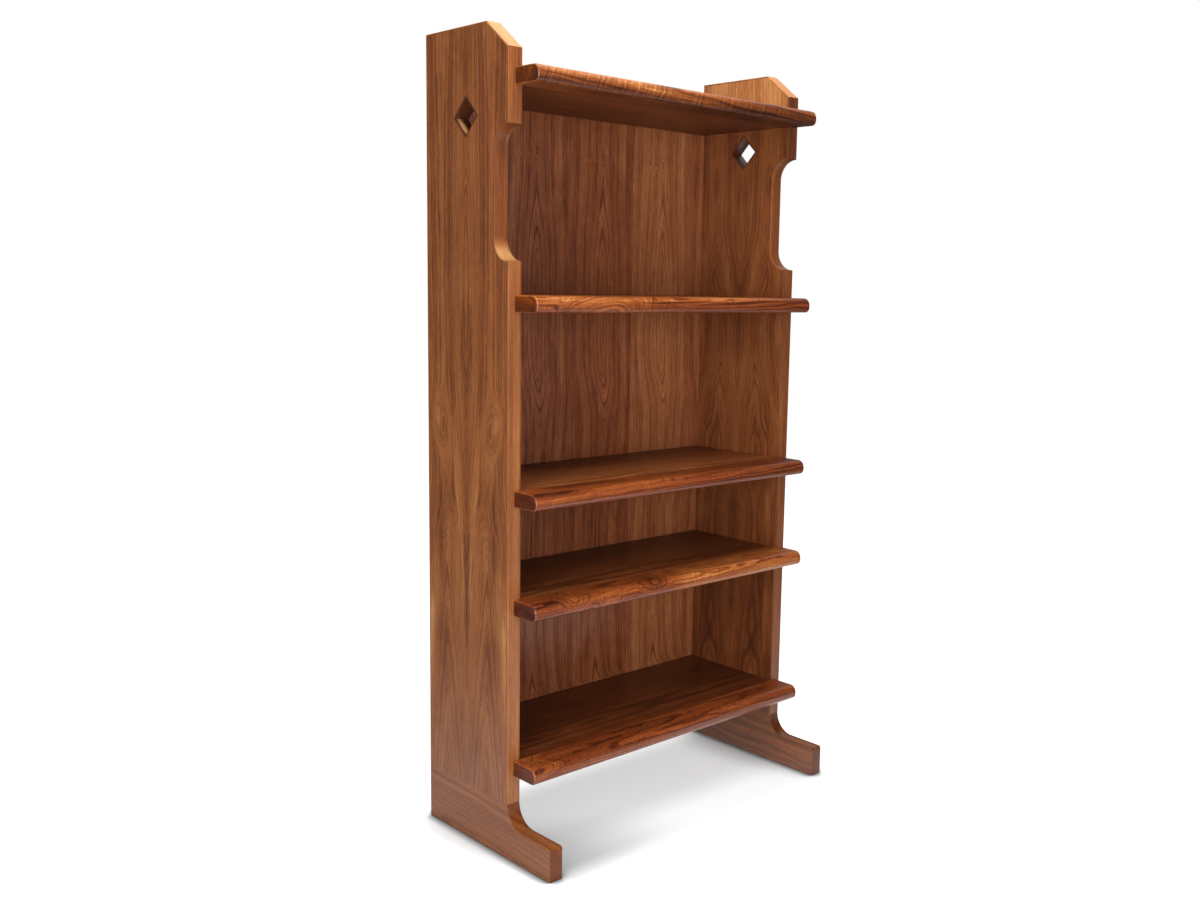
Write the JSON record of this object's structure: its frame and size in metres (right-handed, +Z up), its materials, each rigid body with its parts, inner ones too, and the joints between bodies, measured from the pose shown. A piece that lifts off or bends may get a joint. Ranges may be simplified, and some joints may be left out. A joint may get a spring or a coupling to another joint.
{
  "type": "bookcase",
  "caption": "Free-standing open bookcase on rail feet, with fixed shelves that overhang the sides, scooped and pierced sides and a let-in back",
  "frame": {"origin": "on the floor under the middle of the bounding box", "axes": "X runs along the shelves, to the right of someone who faces the front; Y runs to the back, so the open front faces -Y; Z is up"},
  "size_m": [0.923, 0.462, 1.829],
  "materials": {
    "walnut_veneer": "satin varnished book-matched veneer",
    "walnut_solid": "satin varnished figured solid wood",
    "walnut_lipping": "satin varnished solid edging",
    "beech_tenon": "bare planed wood, hidden in the joints"
  },
  "bodies": {
    "root": {"back_panel": "walnut_veneer", "bottom_shelf_board": "walnut_veneer", "bottom_shelf_nosing": "walnut_solid", "bottom_shelf_spline": "beech_tenon", "bottom_shelf_tenon_left_back": "beech_tenon", "bottom_shelf_tenon_left_front": "beech_tenon", "bottom_shelf_tenon_right_back": "beech_tenon", "bottom_shelf_tenon_right_front": "beech_tenon", "left_back_lipping": "walnut_lipping", "left_clip_lipping": "walnut_lipping", "left_diamond_lining": "walnut_lipping", "left_foot": "walnut_solid", "left_foot_tenon_back": "beech_tenon", "left_foot_tenon_front": "beech_tenon", "left_front_lipping_lower": "walnut_lipping", "left_front_lipping_upper": "walnut_lipping", "left_notch_lipping": "walnut_lipping", "left_side_panel": "walnut_veneer", "left_top_lipping": "walnut_lipping", "lower_shelf_board": "walnut_veneer", "lower_shelf_nosing": "walnut_solid", "lower_shelf_spline": "beech_tenon", "lower_shelf_tenon_left_back": "beech_tenon", "lower_shelf_tenon_left_front": "beech_tenon", "lower_shelf_tenon_right_back": "beech_tenon", "lower_shelf_tenon_right_front": "beech_tenon", "middle_shelf_board": "walnut_veneer", "middle_shelf_nosing": "walnut_solid", "middle_shelf_spline": "beech_tenon", "middle_shelf_tenon_left_back": "beech_tenon", "middle_shelf_tenon_left_front": "beech_tenon", "middle_shelf_tenon_right_back": "beech_tenon", "middle_shelf_tenon_right_front": "beech_tenon", "right_back_lipping": "walnut_lipping", "right_clip_lipping": "walnut_lipping", "right_diamond_lining": "walnut_lipping", "right_foot": "walnut_solid", "right_foot_tenon_back": "beech_tenon", "right_foot_tenon_front": "beech_tenon", "right_front_lipping_lower": "walnut_lipping", "right_front_lipping_upper": "walnut_lipping", "right_notch_lipping": "walnut_lipping", "right_side_panel": "walnut_veneer", "right_top_lipping": "walnut_lipping", "top_shelf_board": "walnut_veneer", "top_shelf_nosing": "walnut_solid", "top_shelf_spline": "beech_tenon", "top_shelf_tenon_left_back": "beech_tenon", "top_shelf_tenon_left_front": "beech_tenon", "top_shelf_tenon_right_back": "beech_tenon", "top_shelf_tenon_right_front": "beech_tenon", "upper_shelf_board": "walnut_veneer", "upper_shelf_nosing": "walnut_solid", "upper_shelf_spline": "beech_tenon", "upper_shelf_tenon_left_back": "beech_tenon", "upper_shelf_tenon_left_front": "beech_tenon", "upper_shelf_tenon_right_back": "beech_tenon", "upper_shelf_tenon_right_front": "beech_tenon"}
  },
  "joints": []
}
